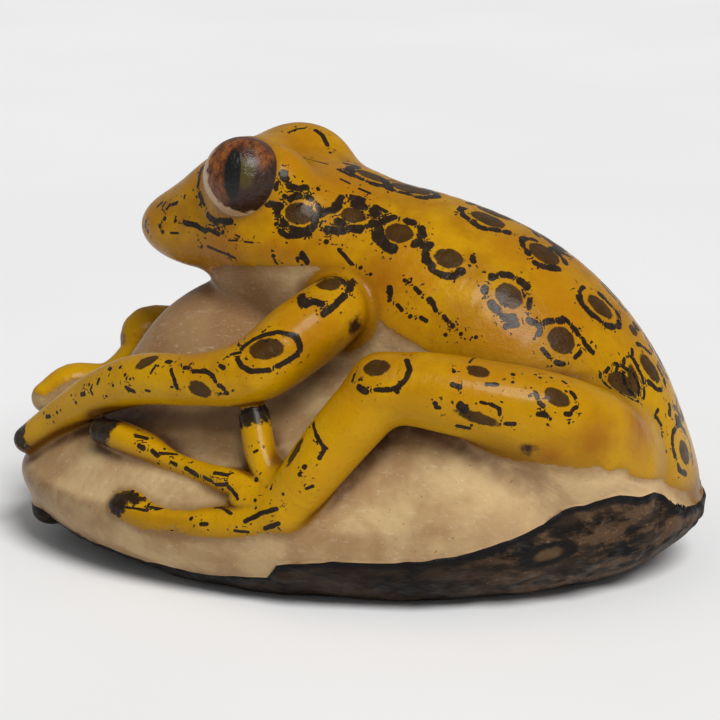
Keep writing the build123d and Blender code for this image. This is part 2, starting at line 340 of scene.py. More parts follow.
def surface_nets():
    axes = [np.arange(low, high, GRID_STEP) for low, high in zip(GRID_LOW, GRID_HIGH)]
    shape = tuple(len(axis) for axis in axes)
    points = np.stack(np.meshgrid(*axes, indexing="ij"), -1).astype(np.float32)
    rough = points[::ROUGH_SKIP, ::ROUGH_SKIP, ::ROUGH_SKIP]
    open_air = surface(rough.reshape(-1, 3)).reshape(rough.shape[:3]) > CLEAR_AIR
    for axis in range(3):
        open_air = np.roll(np.repeat(open_air, ROUGH_SKIP, axis), -ROUGH_SKIP // 2, axis)
    open_air = open_air[:shape[0], :shape[1], :shape[2]].ravel()
    points = points.reshape(-1, 3)
    busy = np.flatnonzero(~open_air)
    whole = np.full(len(points), FAR, np.float32)
    stack = np.full((len(NODES), len(points)), FAR, np.float32)
    whole[busy], stack[:, busy], _ = in_chunks(stacked, points[busy])
    labels = np.where(whole < 0, stack.argmin(0) + 1, 0).astype(np.int8)
    labels3 = labels.reshape(shape)

    corners = np.array(list(product((0, 1), repeat=3)))
    cells = tuple(n - 1 for n in shape)
    strides = np.array([shape[1] * shape[2], shape[2], 1])
    views = [labels3[i:i + cells[0], j:j + cells[1], k:k + cells[2]] for i, j, k in corners]
    mixed = np.zeros(cells, bool)
    for view in views[1:]:
        mixed |= view != views[0]
    where = np.argwhere(mixed)
    ids = np.full(cells, -1, np.int64)
    ids[mixed] = np.arange(len(where))

    base = where @ strides
    total = np.zeros((len(where), 3), np.float64)
    count = np.zeros(len(where))
    for a, b in product(range(8), repeat=2):
        step = corners[b] - corners[a]
        if step.sum() != 1 or np.abs(step).sum() != 1:
            continue
        at_a, at_b = base + corners[a] @ strides, base + corners[b] @ strides
        label_a, label_b = labels[at_a].astype(int), labels[at_b].astype(int)
        crossed = np.flatnonzero(label_a != label_b)
        at_a, at_b, label_a, label_b = at_a[crossed], at_b[crossed], label_a[crossed], label_b[crossed]
        outer = (label_a == 0) | (label_b == 0)
        first, second = np.maximum(label_a - 1, 0), np.maximum(label_b - 1, 0)
        f_a = np.where(outer, whole[at_a], stack[first, at_a] - stack[second, at_a])
        f_b = np.where(outer, whole[at_b], stack[first, at_b] - stack[second, at_b])
        share = np.clip(f_a / np.where(f_a == f_b, 1, f_a - f_b), 0.02, 0.98)
        total[crossed] += corners[a] + share[:, None] * step
        count[crossed] += 1
    vertices = GRID_LOW + GRID_STEP * (where + total / count[:, None])

    quads, sides = [], []
    for axis in range(3):
        u, v = (axis + 1) % 3, (axis + 2) % 3
        near = [slice(1, -1)] * 3
        near[axis] = slice(0, -1)
        far = list(near)
        far[axis] = slice(1, None)
        a, b = labels3[tuple(near)], labels3[tuple(far)]
        at = np.argwhere(a != b)
        pair = np.stack([a[tuple(at.T)], b[tuple(at.T)]], 1)
        cell = at.copy()
        cell[:, u] += 1
        cell[:, v] += 1
        ring = []
        for du, dv in ((-1, -1), (0, -1), (0, 0), (-1, 0)):
            around = cell.copy()
            around[:, u] += du
            around[:, v] += dv
            ring.append(ids[tuple(around.T)])
        quads.append(np.stack(ring, 1))
        sides.append(pair)
    return vertices.astype(np.float32), np.vstack(quads), np.vstack(sides)


def outer_vertices(count, quads, sides):
    outer = np.zeros(count, bool)
    outer[quads[(sides == 0).any(1)].ravel()] = True
    return outer


def settled(vertices, outer, rounds):
    """Outer vertices moved onto the carving's surface."""
    vertices = vertices.copy()
    for _ in range(rounds):
        p = vertices[outer]
        slope = gradient(p)
        step = surface(p) / np.maximum((slope ** 2).sum(1), 0.3)
        vertices[outer] = p - np.clip(step, -0.3, 0.3)[:, None] * slope
    return vertices


def border_pairs(count, quads, sides):
    """The vertices on the skin between exactly two regions, and those regions' labels."""
    has = np.zeros((count, len(NODES) + 1), bool)
    for i in range(4):
        has[quads[:, i], sides[:, 0]] = True
        has[quads[:, i], sides[:, 1]] = True
    chosen = np.flatnonzero(has[:, 0] & (has[:, 1:].sum(1) == 2))
    first = has[chosen, 1:].argmax(1)
    second = len(NODES) - 1 - has[chosen, 1:][:, ::-1].argmax(1)
    return chosen, first, second


def onto_borders(vertices, quads, sides, rounds):
    """Border vertices moved onto the line where their two regions are equally near."""
    chosen, first, second = border_pairs(len(vertices), quads, sides)
    vertices = vertices.copy()
    pick = np.arange(len(chosen))

    def gap(points):
        stack = in_chunks(stacked, points)[1]
        return stack[first, pick] - stack[second, pick]

    for _ in range(rounds):
        p = vertices[chosen]
        lean, slope = gradient(p, function=gap), gradient(p)
        value, height = gap(p), surface(p)
        a, b, c = (lean * lean).sum(1), (lean * slope).sum(1), (slope * slope).sum(1)
        area = np.maximum(a * c - b * b, 0.05)
        along_lean, along_slope = (value * c - height * b)[:, None], (height * a - value * b)[:, None]
        step = (along_lean * lean + along_slope * slope) / area[:, None]
        length = np.maximum(np.linalg.norm(step, axis=1, keepdims=True), 1e-6)
        vertices[chosen] = p - step * np.minimum(1, 0.25 / length)
    return vertices


def relaxed(vertices, quads, outer, share):
    """Each outer vertex part of the way to the middle of its neighbours."""
    kept = quads[outer[quads].all(1)]
    total = np.zeros((len(vertices), 3))
    count = np.zeros(len(vertices))
    for i in range(4):
        for j in (1, 3):
            np.add.at(total, kept[:, i], vertices[kept[:, (i + j) % 4]])
            np.add.at(count, kept[:, i], 1)
    moved = vertices.copy()
    ready = outer & (count > 0)
    moved[ready] += share * (total[ready] / count[ready, None] - vertices[ready]).astype(np.float32)
    return moved


def subdivided(vertices, quads, sides):
    """Every quad split in four."""
    edges = np.sort(np.stack([quads, np.roll(quads, -1, 1)], 2).reshape(-1, 2), 1)
    keys = edges[:, 0] * len(vertices) + edges[:, 1]
    unique, index = np.unique(keys, return_inverse=True)
    ends = np.stack([unique // len(vertices), unique % len(vertices)], 1)
    middles = vertices[ends].mean(1)
    hearts = vertices[quads].mean(1)
    mid = index.reshape(-1, 4) + len(vertices)
    heart = np.arange(len(quads)) + len(vertices) + len(unique)
    new = []
    for i in range(4):
        new.append(np.stack([quads[:, i], mid[:, i], heart, mid[:, (i - 1) % 4]], 1))
    return np.vstack([vertices, middles, hearts]).astype(np.float32), np.vstack(new), np.vstack([sides] * 4)


vertices, quads, sides = surface_nets()
outer = outer_vertices(len(vertices), quads, sides)
vertices = settled(vertices, outer, 2)
vertices = relaxed(vertices, quads, outer, 0.5)
vertices = settled(vertices, outer, 1)
vertices = onto_borders(vertices, quads, sides, 2)
vertices, quads, sides = subdivided(vertices, quads, sides)
outer = outer_vertices(len(vertices), quads, sides)
vertices = settled(vertices, outer, 1)
vertices = onto_borders(vertices, quads, sides, 1)
vertices = settled(vertices, outer, 1)
skin = np.flatnonzero(outer)
skin_points = vertices[skin]
skin_normals = gradient(skin_points)
skin_normals /= np.maximum(np.linalg.norm(skin_normals, axis=1, keepdims=True), 1e-6)
_, skin_stack, skin_limbs = in_chunks(stacked, skin_points)
skin_d = dict(zip(NODES, skin_stack))
skin_heights = dict(zip(LIMBS, skin_limbs))
skin_owner = skin_stack.argmin(0)


# ---- the carver's brush marks
# Most are at (x, z), as seen from the frog's left. Those on the ridge and brow are at (x, y), as seen from
# above, and those on the rear at (y, z), as seen from behind.

# part: brown spots as (place, half length, half width, degrees up from +X)
SPOTS = {
    "back": [
        ((-3.05, 26.85), 1.1, 0.83, 0), ((0.75, 26.7), 1, 0.66, 0), ((4.3, 25.7), 1.1, 0.88, 0),
        ((8.2, 24.2), 1.1, 0.83, -5), ((12.8, 21.8), 1.1, 0.94, -35), ((16.7, 18.75), 1.1, 1, -30),
        ((21.6, 15.4), 1.2, 0.55, -60),
    ],
    "ridge": [
        ((1, 0), 1.4, 0.77, -5), ((3.9, 0.1), 1.6, 0.88, -5), ((10, -1.1), 1.4, 0.99, -5),
        ((14.4, -1.8), 1.3, 1.2, 0), ((18.7, -2.4), 1.25, 0.85, 0), ((20.9, -0.6), 0.5, 0.6, 0),
        ((20.9, -5.4), 1.3, 0.9, 0), ((22.4, -1.8), 1.3, 0.85, 0), ((24.7, -0.8), 1.3, 0.6, 0),
    ],
    "rear": [((-1.6, 9.4), 0.95, 0.95, 0)],
    "arm": [
        ((0.05, 22.65), 0.92, 0.83, -10), ((-3.2, 18.9), 1.3, 0.79, 10), ((-12.9, 16.7), 0.97, 0.55, 18),
        ((-8.1, 15.6), 0.97, 0.66, -5),
    ],
    "leg": [
        ((5.3, 18.55), 0.97, 0.72, 5), ((12.35, 18.4), 0.86, 0.55, 0), ((17.85, 16.65), 1, 0.68, -10),
        ((12.65, 15.35), 1.6, 0.46, -20), ((-0.4, 12.2), 1.2, 0.4, 52),
    ],
    "coat": [((17.2, 4.6), 1.3, 0.55, 5)],
}

# part: broken black outlines as (place, half length, half width, tilt, arcs in degrees, brush half width)
RINGS = {
    "back": [
        ((-3.05, 26.85), 1.6, 1.3, 0, ((10, 75), (95, 150), (165, 185), (215, 250), (258, 320)), 0.18),
        ((0.75, 26.7), 1.6, 1.1, 0,
         ((20, 60), (75, 130), (150, 200), (225, 262), (272, 310), (325, 350)), 0.24),
        ((4.3, 25.7), 1.75, 1.35, 0, ((-38, 38), (60, 95), (110, 165), (196, 262)), 0.26),
        ((8.2, 24.2), 1.75, 1.35, -5, ((12, 40), (150, 205), (212, 226), (238, 262), (268, 318)), 0.2),
        ((12.8, 21.8), 1.75, 1.55, -20, ((2, 44), (66, 100), (112, 160), (196, 220), (240, 330)), 0.2),
        ((16.7, 18.75), 1.75, 1.6, -20, ((-20, 12), (30, 110), (118, 176), (184, 200), (240, 300)), 0.15),
        ((21.6, 15.4), 1.7, 1, -60, ((30, 60), (80, 120), (140, 170), (200, 230), (250, 330)), 0.13),
    ],
    "ridge": [
        ((1, 0), 1.9, 1.3, -5, ((150, 260), (280, 350)), 0.2),
        ((3.9, 0.1), 2.1, 1.4, -5, ((185, 350), (20, 60)), 0.2),
        ((10, -1.1), 2, 1.5, -5, ((175, 340),), 0.22),
        ((14.4, -1.8), 1.8, 1.7, 0, ((130, 172), (184, 250), (262, 300), (310, 345), (20, 80)), 0.22),
        ((18.7, -2.4), 2.1, 1.6, 0, ((150, 200), (210, 262), (270, 330), (345, 380), (30, 110)), 0.18),
        ((22.4, -1.8), 2.1, 1.5, 0, ((20, 80), (100, 170), (190, 250), (280, 340)), 0.16),
        ((20.9, -5.4), 1.8, 1.4, 0, ((0, 130), (150, 340)), 0.1),
        ((24.7, -0.8), 2.1, 1.3, 0, ((20, 160), (190, 220), (260, 330)), 0.16),
    ],
    "rear": [
        ((-1.6, 9.6), 1.9, 1.9, 0, ((20, 75), (90, 150), (170, 250), (270, 320)), 0.16),
    ],
    "arm": [
        ((0.05, 22.65), 1.3, 1.15, -10, ((35, 150),), 0.23),
    ],
    "leg": [
        ((17.85, 16.65), 1.7, 1.1, 0, ((190, 205), (228, 250), (300, 314), (30, 48)), 0.15),
    ],
}

# part: single brush strokes as (half width, then both coordinates of each place on its path)
STROKES = {
    "back": [
        (0.16, -16.7, 24.3, -16.75, 23.9), (0.16, -16.4, 23.6), (0.13, -15.7, 25.55, -15.4, 25.8),
        (0.13, -15.1, 25.7, -14.95, 25.95), (0.13, -14.6, 25.65, -14.4, 25.95),
        (0.13, -14.1, 26.05, -13.6, 26.3), (0.1, -12.9, 26.8, -12.9, 26.95), (0.17, -14.7, 24.95),
        (0.14, -13.6, 25), (0.18, -12.75, 25.05, -11.7, 25.05, -10.7, 24.8),
        (0.15, -10.4, 25, -9.4, 24.85), (0.13, -9, 25.05), (0.15, -15.1, 24.35), (0.13, -14.8, 23.95),
        (0.08, -14, 24.05, -13.3, 24.15), (0.1, -10.5, 23.65, -8.9, 23.45, -8, 23.25),
        (0.06, -8.5, 24.55, -7.7, 24.65), (0.06, -7.1, 24.65, -6.4, 24.65),
        (0.06, -7.9, 25.05, -7.5, 24.95), (0.06, -11.4, 23.45),
        (0.17, -11.9, 28.9, -11.7, 28.2, -11.7, 27.85), (0.2, -11.4, 27.35, -11.1, 26.95),
        (0.12, -10.9, 26.65), (0.22, -10.5, 26, -9.7, 25.65), (0.22, -9.3, 25.85, -8.3, 25.95),
        (0.3, -4.35, 29.7, -4.2, 29.4), (0.18, -4.8, 29, -4.8, 28.7), (0.14, -4.2, 28.1),
        (0.2, -3.9, 28.8, -3.3, 28.6, -2.8, 28.6), (0.16, -2.1, 28.4),
        (0.22, -5.4, 27.55, -4.8, 27.5, -4.4, 27.4), (0.16, -4.7, 26.7), (0.14, -4.7, 26.1),
        (0.2, -4.3, 25.6, -3.8, 25.3, -3, 25.4, -2.2, 25.5), (0.26, -1.9, 26.6, -1.9, 26.1),
        (0.24, -1.5, 26.8, -0.6, 27.2, -0.4, 27.8), (0.2, 0.3, 27.8, 1.1, 27.6),
        (0.28, -0.9, 25.8, 0.2, 25.7), (0.2, 0.9, 25.8, 1.4, 25.7), (0.28, 2.6, 26.2, 3.2, 25.3, 4, 24.7),
        (0.14, 2.2, 27.2, 3, 26.9), (0.16, -0.9, 24.95), (0.13, 0.1, 24.5, 1.2, 23.6), (0.14, 1.9, 23.4),
        (0.12, 2.7, 23), (0.18, -2.6, 24.1, -2.2, 23.5), (0.1, -3, 23.75, -2.5, 23.8), (0.13, -4.8, 23.8),
        (0.08, -4.7, 23.4, -4.5, 23.2), (0.12, 5.25, 22.75), (0.1, 5.55, 22.6),
        (0.16, 6.15, 22.25, 6.45, 22), (0.2, 7.25, 21.55, 7.5, 21.35), (0.14, 7.65, 21.05, 7.8, 20.85),
        (0.16, 8.45, 20.45, 8.65, 20.25), (0.17, 9.1, 19.85), (0.14, 9.75, 19.35), (0.12, 10.85, 19.15),
        (0.12, 8.65, 19.25), (0.2, 4.25, 22.15, 4.3, 21.85), (0.15, 4.3, 21.35),
        (0.14, 4.95, 21.05, 5.25, 20.75), (0.14, 5.95, 20.35), (0.14, 6.75, 20.3, 7.15, 20.15),
        (0.17, 7.75, 19.05, 7.8, 18.75), (0.22, 11.3, 18), (0.09, 15.2, 16.9),
        (0.2, 12.9, 19.9, 13.6, 20), (0.22, 14.4, 20.2, 14.8, 20), (0.2, 18.3, 18.25, 18.8, 17.75),
        (0.14, 20.5, 16.6, 20.9, 15.8), (0.14, 23.3, 13, 23.4, 12.2), (0.1, 22.8, 12.4),
        (0.1, 22.7, 11.2), (0.26, 24, 11.3, 24.4, 9.8), (0.13, 24.5, 9.2, 24.6, 8.6),
    ],
    "brow": [
        (0.09, -6.2, 2.6, -5.7, 3.2, -5.2, 3.4), (0.17, -4.3, 3.5, -3.7, 3.2, -3.2, 2.6), (0.12, -2.8, 2),
        (0.08, -5, -0.6, -4.5, -1), (0.09, -4.2, -0.1, -3.2, -0.3, -2.4, -0.4),
        (0.09, -3.6, -1.9, -3.3, -2.1),
    ],
    "ridge": [
        (0.16, -1.4, -0.9, -0.4, -1.3), (0.1, -0.9, -2.2, -0.2, -2.4), (0.12, 0.6, -2.6, 1.4, -2.7),
    ],
    "rear": [
        (0.16, -3.9, 12.6, -3.7, 12), (0.14, -4.2, 11.3), (0.12, -4.4, 10.2),
    ],
    "arm": [
        (0.24, 1.35, 23.7, 1.65, 23, 1.6, 22.3), (0.28, -1.6, 22, -1.2, 21.6),
        (0.24, -0.9, 21.55, -0.5, 21.8, 0.1, 21.6), (0.22, 0.35, 21, 0.9, 21.4, 1.4, 21.95),
        (0.16, -5, 18.8, -4.3, 19.35, -3.4, 19.75, -2.5, 19.95, -1.7, 19.85),
        (0.2, -1.4, 19.75, -0.95, 19.2, -0.9, 18.75), (0.18, -1.1, 18.4, -1.6, 18.1, -2.3, 17.7),
        (0.17, -2.9, 17.45, -4.1, 17.35, -4.8, 17.65, -5.2, 18.1), (0.1, -6.15, 18.75, -5.4, 18.85),
        (0.12, -5.8, 18.3, -5.1, 18.5), (0.15, -6.5, 17.5, -6.2, 17.4),
        (0.15, -8.7, 16.8, -7.7, 17, -7, 16.8, -6.8, 16.4), (0.14, -9.5, 16.9, -9.1, 16.95),
        (0.14, -6.5, 16.1, -6.2, 16), (0.17, -6, 15.6), (0.12, -10.6, 16.6, -10.4, 16.3),
        (0.16, -10.2, 16, -10, 15.45), (0.17, -11.1, 17, -10.8, 17), (0.1, -12, 16.6, -12.3, 16.1),
        (0.14, -15.5, 16.3), (0.14, -16.3, 15.55, -16.1, 15.55), (0.12, -15.2, 15.9),
        (0.12, -14.6, 15.55), (0.1, -14.1, 15.35), (0.11, -15.7, 14.55),
        (0.15, -14.5, 14.65, -14.1, 14.5, -13.8, 14.45), (0.11, -12.7, 14.75, -12.4, 14.75),
        (0.13, -17.1, 14.65, -17.2, 14.35), (0.1, -17.9, 13.75, -17.7, 13.45),
        (0.15, -18.8, 13.15, -18.5, 13.25), (0.08, -18.6, 13.85), (0.13, -19.4, 12.35),
        (0.09, -18.1, 14.05), (0.12, -21.4, 11.05), (0.14, -22.5, 10.45, -22.2, 10.55),
        (0.11, -16.4, 13.55), (0.09, -19.9, 12.75),
    ],
    "leg": [
        (0.17, 7.3, 18.95, 7.7, 18.45, 7.5, 17.85, 7, 17.35), (0.16, 5.5, 17.15, 6.4, 17.15),
        (0.15, 6.7, 17.25, 7, 17.05), (0.2, 4.2, 17.15, 4.8, 16.95), (0.12, 3.7, 17.85, 3.6, 17.45),
        (0.17, 19.55, 16.95, 20.25, 16.55), (0.17, 16.75, 15.65, 17.25, 15.55), (0.1, 17.55, 15.25),
        (0.13, 18.95, 15.75, 19.15, 15.85), (0.09, 18.75, 14.85), (0.09, 16.05, 16.85),
        (0.26, 11.45, 16.25, 11.75, 15.95), (0.14, 11.15, 14.65, 11.95, 14.5),
        (0.14, 14.55, 14.95, 15.15, 14.95), (0.12, 13.55, 16.35, 14.15, 16.05, 14.15, 15.65),
        (0.1, 12.85, 16.5, 13.25, 16.4), (0.13, 9.65, 16.35), (0.13, 9.75, 16.05, 9.95, 16.05),
        (0.14, 0.8, 14.2, 1.3, 13.5, 2, 12.8, 1.6, 12.1), (0.17, 0.5, 11.35), (0.14, 0.15, 10.8),
        (0.12, 0.7, 9.8, 1.1, 10), (0.11, -2.2, 9.3), (0.1, -1.1, 9.2), (0.16, -3.6, 9.5),
        (0.11, -3.4, 8.3), (0.15, -4, 6.85, -2.8, 7.55, -1.6, 8.05), (0.17, -2.5, 6.45, -1.5, 6.95),
        (0.1, -4.8, 6.05, -3.8, 6.05), (0.12, -13.8, 11, -12.9, 10.9), (0.19, -13.4, 10.4, -13.1, 10.3),
        (0.16, -12.3, 10.2, -11.9, 9.9), (0.1, -11.6, 10.1, -10.4, 10.1), (0.13, -10.7, 9.6, -10.3, 9.5),
        (0.16, -9.4, 9.4, -8.4, 9.1), (0.12, -7.8, 9.1, -7.1, 9), (0.13, -6.9, 9.6, -5.9, 9.6),
        (0.14, -6.7, 8.8, -5.8, 9), (0.14, -5.6, 8.8, -4.9, 8.4), (0.1, -4.8, 8.2),
        (0.24, -11.9, 6.65, -11.3, 6.55, -10.8, 6.75), (0.1, -14.2, 6.35, -12, 6.35), (0.14, -8.4, 6.35),
        (0.13, -7.5, 6.15, -7, 6.25), (0.12, -6.7, 7.15, -5.6, 7.75), (0.12, -6.6, 7.25, -5.2, 7.15),
        (0.1, -3.9, 11.4, -3.7, 11.5), (0.17, 10.8, 17.65, 11.3, 17.5), (0.13, 10.75, 18.4),
        (0.13, 13.1, 17.65, 13.8, 17.6), (0.14, 14.7, 18.1), (0.1, 14.8, 17.7), (0.1, 16.5, 17.8),
        (0.1, 17.2, 17.7), (0.12, 18, 17.4, 18.2, 17.3), (0.09, 11.6, 18.8, 12.1, 18.9),
    ],
}

INK_SPREAD = 1.2  # how much wider than the brush its marks dried

# places along x, and the height down to which the throat, belly and rump are painted at each
PAINT_EDGE = ((-12, -11.2, -10.5, -9.1, -6, -1.6, 1, 2.9, 4.1, 5.6,
               8, 9.5, 14, 19, 20.5, 22.2, 23.5, 24.8, 26),
              (17, 20.2, 21.7, 22.4, 22.9, 23.3, 22.2, 20.6, 19.6, 18.8,
               17.8, 17.3, 13.4, 12, 11.2, 10.3, 9, 7.7, 5.5))

# part: paint dipped over a tip, as (centre, radius)
DIPS = {
    "leg": [((-16.7, -10.5, 11.0), 1.7), ((-14.4, -14.2, 6.5), 1.3), ((-13.2, -14.6, 7.2), 0.9),
            ((-4.6, -13.4, 13.4), 1.5)],
    "arm": [((-25.1, -4.7, 8.2), 1.4)],
}
# burns left by the carver's tool, then orange-brown glaze, both as (place, radius)
SCORCHES = [((2.2, 19.7), 0.62), ((16.0, 12.9), 0.42)]
GLAZES = [((20.4, 13.2), 1.2), ((22.8, 13.2), 1.3), ((17.4, 12.2), 0.6), ((-4.6, 24.4), 0.4),
          ((3.6, 22.6), 0.6)]

# part: the regions that its marks are drawn on
GROUPS = {
    "back": ("torso", "head"),
    "ridge": ("torso", "head"),
    "brow": ("torso", "head"),
    "rear": ("torso", "left_thigh", "kernel_ground"),
    "arm": LIMBS[:2],
    "leg": LIMBS[2:],
    "coat": ("seed_coat",),
}
FROM_ABOVE = ("ridge", "brow")
ONE_SIDED = ("brow", "rear", "coat")  # drawn as given, and not mirrored to the right side too

LOOK_DEPTH = 25.0  # how far in a mark is looked for, so that one past the outline stays near it


def on_skin(places, part, side=1):
    """Points of the skin that the marks of a part are at, mirrored to the frog's right on side -1."""
    first, second = np.array(places, np.float32).T
    if part in FROM_ABOVE:
        points = np.stack([first, second * side, np.full_like(first, 36)], 1)
        way = np.float32([0, 0, -1])
    elif part == "rear":
        points = np.stack([np.full_like(first, 36), first * side, second], 1)
        way = np.float32([-1, 0, 0])
    else:
        points = np.stack([first, np.full_like(first, -24 * side), second], 1)
        way = np.float32([0, side, 0])
    start = points @ way
    for _ in range(40):
        depth = points @ way - start
        points = points + (np.clip(surface(points) * 0.8, -0.5, 2) * (depth < LOOK_DEPTH))[:, None] * way
    return settle(points, 4)


def settle(points, rounds):
    """Points near the skin moved onto it."""
    for _ in range(rounds):
        slope = gradient(points)
        step = surface(points) / np.maximum((slope ** 2).sum(1), 0.3)
        points = points - np.clip(step, -0.5, 0.5)[:, None] * slope
    return points


def tangent_frame(point, tilt):
    """Two directions on the skin, tilted from +X, and the way out."""
    out = gradient(point[None])[0]
    out /= np.linalg.norm(out)
    along = np.array([1.0, 0, 0]) - out[0] * out
    along /= np.linalg.norm(along)
    up = np.cross(out, along)
    if up[2] < 0:
        up = -up
    t = radians(tilt)
    return along * cos(t) + up * sin(t), up * cos(t) - along * sin(t), out


def ring_strokes(part, side, rng):
    """Each outline's arcs as short dashes of points on the skin, uneven in length, breadth and place."""
    rings = RINGS.get(part, [])
    if not rings:
        return []
    dashes, widths = [], []
    centres = on_skin([ring[0] for ring in rings], part, side)
    for centre, (_, length, width, tilt, arcs, brush) in zip(centres, rings):
        along, across, _ = tangent_frame(centre, tilt)
        mean = (length + width) / 2
        for start, end in arcs:
            at = start
            while at < end - 4:
                stop = min(at + np.degrees(rng.uniform(0.2, 0.75) / mean), end)
                turns = np.radians([at, (at + stop) / 2, stop])
                swell = rng.uniform(0.88, 1.1) * rng.uniform(0.96, 1.04, 3)
                dash = centre + np.outer(length * swell * np.cos(turns), along)
                dashes.append(dash + np.outer(width * swell * np.sin(turns), across))
                widths.append(brush * rng.uniform(0.85, 1.45))
                at = stop + np.degrees((brush * 2 + rng.uniform(0.08, 0.34)) / mean)
    flat = settle(np.vstack(dashes).astype(np.float32), 2)
    return [(flat[3 * i:3 * i + 3], width) for i, width in enumerate(widths)]


def sides_of(part):
    return (1,) if part in ONE_SIDED else (1, -1)


def skin_of(part):
    """Which vertices of the skin belong to the regions that a part's marks are drawn on."""
    return np.isin(skin_owner, [NODES.index(node) for node in GROUPS[part]])


def all_strokes(part):
    """Start, end and half width of every brush segment of one part, on both sides of the frog."""
    rng = np.random.default_rng(len(part))
    starts, ends, widths = [], [], []
    given = [(np.reshape(numbers, (-1, 2)), width) for width, *numbers in STROKES.get(part, [])]
    for side in sides_of(part):
        paths = ring_strokes(part, side, rng)
        if given:
            flat = on_skin(np.vstack([path for path, _ in given]), part, side)
            ends_at = np.cumsum([len(path) for path, _ in given])
            paths += zip(np.split(flat, ends_at[:-1]), [width for _, width in given])
        for path, width in paths:
            path = path if len(path) > 1 else np.vstack([path, path + np.float32([0.02, 0, 0.02])])
            for a, b in zip(path, path[1:]):
                starts.append(a)
                ends.append(b)
                widths.append(width * INK_SPREAD)
    return np.float32(starts), np.float32(ends), np.float32(widths)


def far_from_all():
    return np.full(len(skin_points), ALL_OVER, np.float32)


def brushed():
    """Each vertex's offset from its nearest stroke, in half widths, and its distance from that stroke."""
    offset = np.full((3, len(skin_points)), ALL_OVER, np.float32)
    gap = far_from_all()
    for part in STROKES:
        a, b, width = all_strokes(part)
        mine = np.flatnonzero(skin_of(part))
        way = b - a
        length = np.maximum((way ** 2).sum(1), 1e-6)

        def nearest(points):
            h = np.clip((points @ way.T - (a * way).sum(1)) / length, 0, 1)
            square = (points ** 2).sum(1)[:, None] - 2 * points @ a.T + (a ** 2).sum(1)
            reach = h * (2 * (points @ way.T - (a * way).sum(1)) - h * length)
            distance = np.sqrt(np.maximum(square - reach, 0)) - width
            best = distance.argmin(1)
            pick = np.arange(len(points))
            foot = a[best] + h[pick, best][:, None] * way[best]
            return ((points - foot) / width[best][:, None]).T, distance[pick, best]

        found, edge = in_chunks(nearest, skin_points[mine])
        closer = edge < gap[mine]
        offset[:, mine[closer]] = found[:, closer]
        gap[mine[closer]] = edge[closer]
    return offset.T, gap


def spotted():
    """Distance to the edge of the nearest brown spot."""
    best = far_from_all()
    for part, spots in SPOTS.items():
        mine = skin_of(part)
        for side in sides_of(part):
            centres = on_skin([spot[0] for spot in spots], part, side)
            for centre, (_, length, width, tilt) in zip(centres, spots):
                near = np.flatnonzero(mine & (np.abs(skin_points - centre) < 4).all(1))
                along, across, out = tangent_frame(centre, tilt)
                local = skin_points[near] - centre
                scaled = np.stack([local @ along / length, local @ across / width, local @ out / 2], 1)
                edge = (np.linalg.norm(scaled, axis=1) - 1) * min(length, width)
                best[near] = np.minimum(best[near], edge)
    return best


def dipped():
    """Distance to the edge of the nearest tip that was dipped in black."""
    best = far_from_all()
    for part, tips in DIPS.items():
        mine = np.flatnonzero(skin_of(part))
        for ((x, y, z), radius), side in product(tips, (1, -1)):
            away = np.linalg.norm(skin_points[mine] - np.float32([x, y * side, z]), axis=1)
            best[mine] = np.minimum(best[mine], away - radius)
    return best


def patches(places):
    """Distance to the edge of the nearest round patch."""
    best = far_from_all()
    for place, radius in places:
        centre = on_skin([place], "back")[0]
        best = np.minimum(best, np.linalg.norm(skin_points - centre, axis=1) - radius)
    return best


# ---- what the paint needs to know at each vertex

def on_limb(name):
    """Negative on a limb's own skin, which is always nearer the limb's line than the kernel beneath."""
    return np.maximum(skin_d[name] - skin_d["kernel_ground"], skin_d[name] - 0.8)


def where_painted():
    """Distance to the paint's edge, negative where the carver painted."""
    x, _, z = skin_points.T
    ground = skin_d["kernel_ground"]
    bare_below = np.interp(x, *PAINT_EDGE) + 0.5 * lumps(skin_points, 1.6, 9) * (x > 19)
    torso = skin_d["torso"] - ground - np.interp(x, (13, 18), (0, 4))
    painted = np.maximum(np.minimum(torso, skin_d["head"] - ground), bare_below - z)
    for side in ("left", "right"):
        arm = on_limb(side + "_arm")
        if side == "right":
            arm = np.where(x < -20, np.maximum(arm, 0.5 - skin_heights["right_arm"]), arm)
        painted = np.minimum(painted, arm)
        for part in ("thigh", "shin"):
            painted = np.minimum(painted, on_limb(f"{side}_{part}"))
        foot = f"{side}_foot"
        painted = np.minimum(painted, np.maximum(on_limb(foot), -0.7 - skin_heights[foot]))
    bare_rim = ALL_OVER
    for side, word in SIDES:
        local = (skin_points - EYE_CENTRE[side]) @ EYE_AXES[side]
        turn = np.degrees(np.arctan2(local[:, 2], -local[:, 0]))
        breadth = np.interp(turn, (-120, -90, -50, -10, 15, 38), (0, 0.15, 0.3, 0.35, 0.25, 0))
        bare_rim = np.minimum(bare_rim, skin_d[word + "_eye"] - breadth)
    return np.maximum(painted, -bare_rim)


def eye_places():
    """Where each vertex is on its eye: along, out and up, in half axes."""
    side = np.where(skin_points[:, 1] < EYE_CENTRE[-1][1] - 3, 1, -1)
    places = np.zeros((len(skin_points), 3))
    for one in (1, -1):
        local = (skin_points - EYE_CENTRE[one]) @ EYE_AXES[one] / EYE_RADII
        places = np.where((side == one)[:, None], local, places)
    return places


def hollowness():
    """0 on open convex skin, up to 1 deep in a crease; the materials darken creases by it, partly as stain
    and partly as painted shade.
    """
    total = np.zeros(len(skin_points), np.float32)
    for reach, weight in ((0.5, 0.35), (1.0, 0.3), (2.0, 0.2), (3.5, 0.15)):
        found = surface(skin_points + skin_normals * np.float32(reach))
        total += weight * np.clip(1 - found / reach, 0, 1)
    # less near the eyes, so the eye rims get less painted shade
    by_eye = np.minimum(skin_d["left_eye"], skin_d["right_eye"])
    return total * np.interp(by_eye, (0, 1.2), (0.25, 1))


